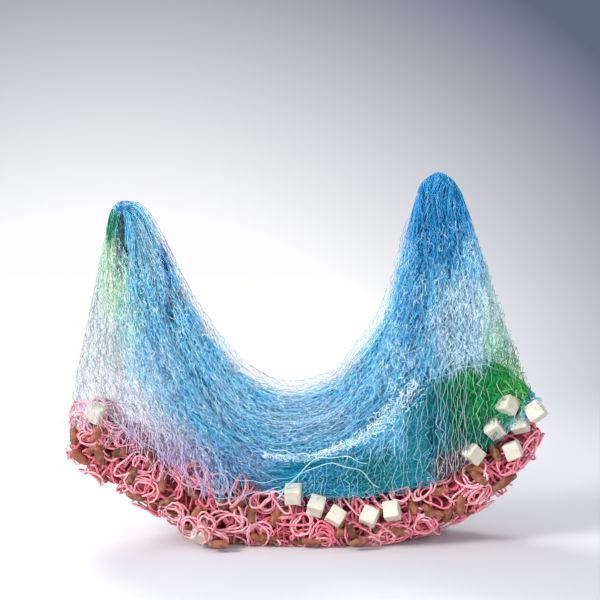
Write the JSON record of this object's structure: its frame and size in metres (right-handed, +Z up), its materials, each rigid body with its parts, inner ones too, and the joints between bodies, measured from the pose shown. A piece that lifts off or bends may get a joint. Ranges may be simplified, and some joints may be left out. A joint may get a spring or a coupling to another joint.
{
  "type": "fishing net",
  "caption": "Fishing net gathered into two tall peaks with a sagging hammock of netting between them, on pink rope hanks with clay sinkers and foam floats.",
  "frame": {"origin": "centre of the bounding box at its base, on the surface that the net rests on", "axes": "+Z up; -Y towards the front, where the lead line and most of the sinkers are; +X to the right, from the lower peak to the higher one"},
  "size_m": [0.6859, 0.1699, 0.5227],
  "materials": {
    "netting": "blue to green monofilament netting",
    "cord": "pink laid polypropylene cord",
    "sinker": "fired brown clay, unglazed",
    "float": "cream white closed-cell foam"
  },
  "bodies": {
    "root": {"netting": "netting", "lead_line_hank": "cord", "float_line_hank": "cord", "sinker_01": "sinker", "sinker_02": "sinker", "sinker_03": "sinker", "sinker_04": "sinker", "sinker_05": "sinker", "sinker_06": "sinker", "sinker_07": "sinker", "sinker_08": "sinker", "sinker_09": "sinker", "sinker_10": "sinker", "sinker_11": "sinker", "sinker_12": "sinker", "sinker_13": "sinker", "sinker_14": "sinker", "sinker_15": "sinker", "sinker_16": "sinker", "sinker_17": "sinker", "sinker_18": "sinker", "sinker_19": "sinker", "sinker_20": "sinker", "sinker_21": "sinker", "sinker_22": "sinker", "sinker_23": "sinker", "sinker_24": "sinker", "sinker_25": "sinker", "sinker_26": "sinker", "sinker_27": "sinker", "sinker_28": "sinker", "sinker_29": "sinker", "sinker_30": "sinker", "sinker_31": "sinker", "sinker_32": "sinker", "sinker_33": "sinker", "sinker_34": "sinker", "sinker_35": "sinker", "sinker_36": "sinker", "sinker_37": "sinker", "sinker_38": "sinker", "sinker_39": "sinker", "float_01": "float", "float_02": "float", "float_03": "float", "float_04": "float", "float_05": "float", "float_06": "float", "float_07": "float", "float_08": "float", "float_09": "float", "float_10": "float", "float_11": "float", "float_12": "float", "float_13": "float", "float_14": "float", "float_15": "float", "float_16": "float", "float_17": "float"}
  },
  "joints": []
}
